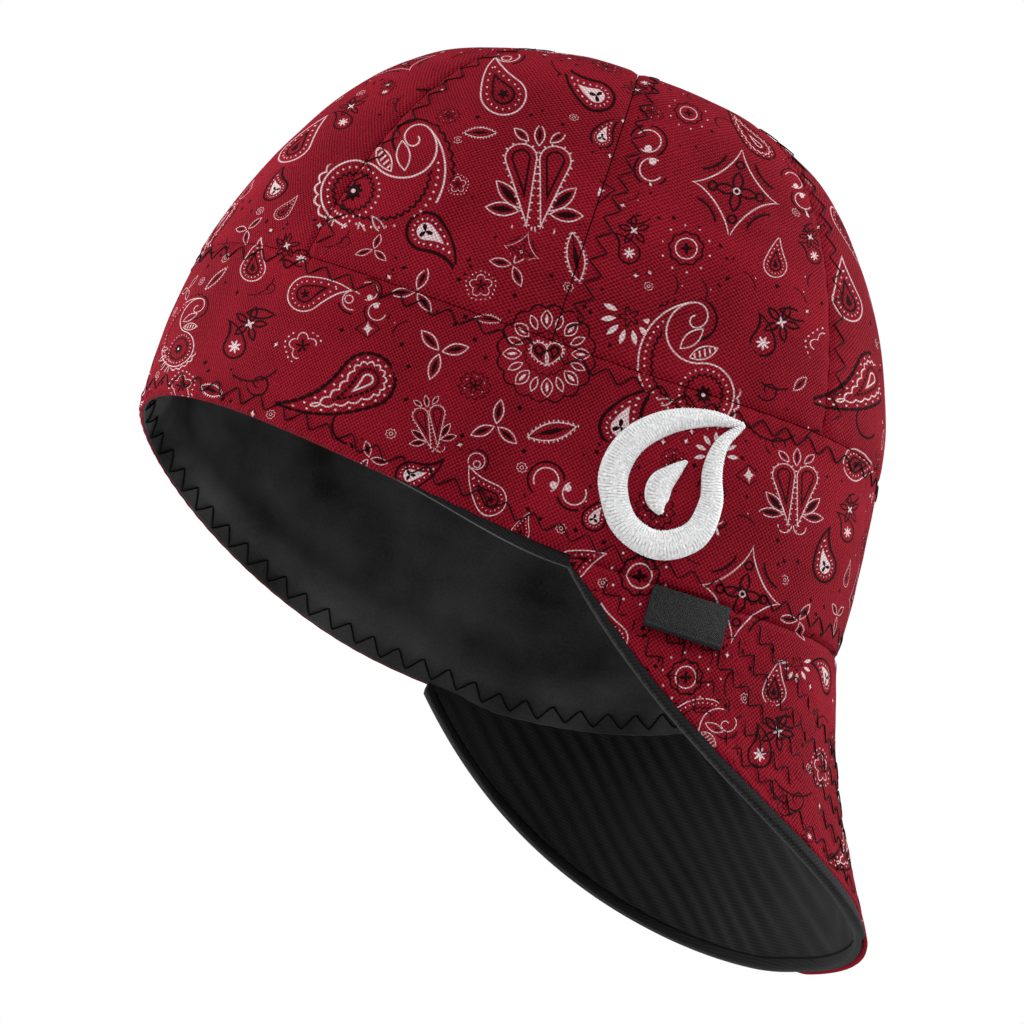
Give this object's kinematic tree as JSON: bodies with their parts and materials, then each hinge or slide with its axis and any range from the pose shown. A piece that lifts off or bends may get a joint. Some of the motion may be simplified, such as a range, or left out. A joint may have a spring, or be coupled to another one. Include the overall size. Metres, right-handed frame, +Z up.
{
  "type": "welding cap",
  "caption": "Soft cotton welding cap with a gored crown, a side band, a lining and a soft quilted bill that hangs over the forehead.",
  "frame": {"origin": "centre of the head opening, on the mean height of its edge", "axes": "+Z up through the crown, -Y towards the bill, -X towards the wearer's right"},
  "size_m": [0.1578, 0.2463, 0.2281],
  "materials": {
    "red_duck": "matte printed cotton duck",
    "black_cotton": "matte black cotton",
    "black_tab": "satin woven ribbon"
  },
  "bodies": {
    "root": {"crown_panel_1": "red_duck", "crown_panel_2": "red_duck", "crown_panel_3": "red_duck", "crown_panel_4": "red_duck", "crown_panel_5": "red_duck", "crown_panel_6": "red_duck", "crown_panel_7": "red_duck", "crown_panel_8": "red_duck", "side_band": "red_duck", "bill_top": "red_duck", "bill_underside": "black_cotton", "lining_crown": "black_cotton", "lining_band": "black_cotton", "label_tab": "black_tab"}
  },
  "joints": []
}
